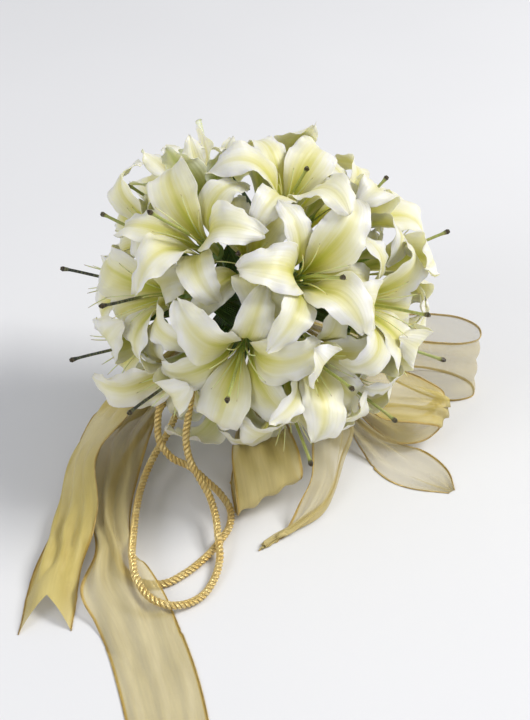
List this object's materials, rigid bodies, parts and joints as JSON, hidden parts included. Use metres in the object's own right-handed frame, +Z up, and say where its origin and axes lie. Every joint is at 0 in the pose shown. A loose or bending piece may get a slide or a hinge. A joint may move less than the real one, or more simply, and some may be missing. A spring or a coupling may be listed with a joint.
{
  "type": "bridal bouquet",
  "caption": "Hand-tied round bouquet of white lilies, lying on its side with gold organza ribbon loops and tails and a looped twisted gold cord.",
  "frame": {"origin": "middle of the bouquet's outline on the surface that it lies on, the cords left out", "axes": "+Z up from the surface; +Y from the flowers and ribbon tails back towards the cut stems; +X to the right, across the bouquet"},
  "size_m": [0.3806, 0.5091, 0.2763],
  "materials": {
    "petal_white": "creamy white living petal, satin, slightly translucent, yellow-green towards the throat",
    "heart_green": "pale green stamen stalks and pistil, with a dark stigma",
    "stem_green": "dark green living stem and leaf, satin",
    "gold_organza": "sheer gold organza with a plain weave and narrow woven edges",
    "gold_wrap": "gold ribbon wound round the handle",
    "gold_cord": "satin gold twisted cord"
  },
  "bodies": {
    "root": {"bloom_front": "petal_white", "bloom_right_star": "petal_white", "bloom_crown": "petal_white", "bloom_heart": "petal_white", "bloom_left_upper": "petal_white", "bloom_left_middle": "petal_white", "bloom_low_right": "petal_white", "bloom_low_front": "petal_white", "bloom_left_shoulder": "petal_white", "bloom_top_left": "petal_white", "bloom_right_shoulder": "petal_white", "bloom_right_edge": "petal_white", "bloom_right_low_edge": "petal_white", "bloom_low_left": "petal_white", "bloom_left_edge": "petal_white", "bloom_left_low_edge": "petal_white", "bloom_low_right_edge": "petal_white", "bloom_bottom": "petal_white", "bloom_top": "petal_white", "bloom_top_right": "petal_white", "bloom_middle": "petal_white", "bloom_left_bud": "petal_white", "bloom_half_open": "petal_white", "heart_front": "heart_green", "heart_right_star": "heart_green", "heart_crown": "heart_green", "heart_heart": "heart_green", "heart_left_upper": "heart_green", "heart_left_middle": "heart_green", "heart_low_right": "heart_green", "heart_low_front": "heart_green", "heart_left_shoulder": "heart_green", "heart_top_left": "heart_green", "heart_right_shoulder": "heart_green", "heart_right_edge": "heart_green", "heart_right_low_edge": "heart_green", "heart_low_left": "heart_green", "heart_left_edge": "heart_green", "heart_left_low_edge": "heart_green", "heart_low_right_edge": "heart_green", "heart_bottom": "heart_green", "heart_top": "heart_green", "heart_top_right": "heart_green", "heart_middle": "heart_green", "stem_1": "stem_green", "stem_2": "stem_green", "stem_3": "stem_green", "stem_4": "stem_green", "stem_5": "stem_green", "ribbon_left": "gold_organza", "ribbon_fold": "gold_organza", "ribbon_loop_front": "gold_organza", "ribbon_centre": "gold_organza", "ribbon_loop_low": "gold_organza", "ribbon_loop_right": "gold_organza", "ribbon_right": "gold_organza", "ribbon_knot": "gold_organza", "handle_wrap": "gold_wrap", "cord_outer": "gold_cord", "cord_inner": "gold_cord"}
  },
  "joints": []
}
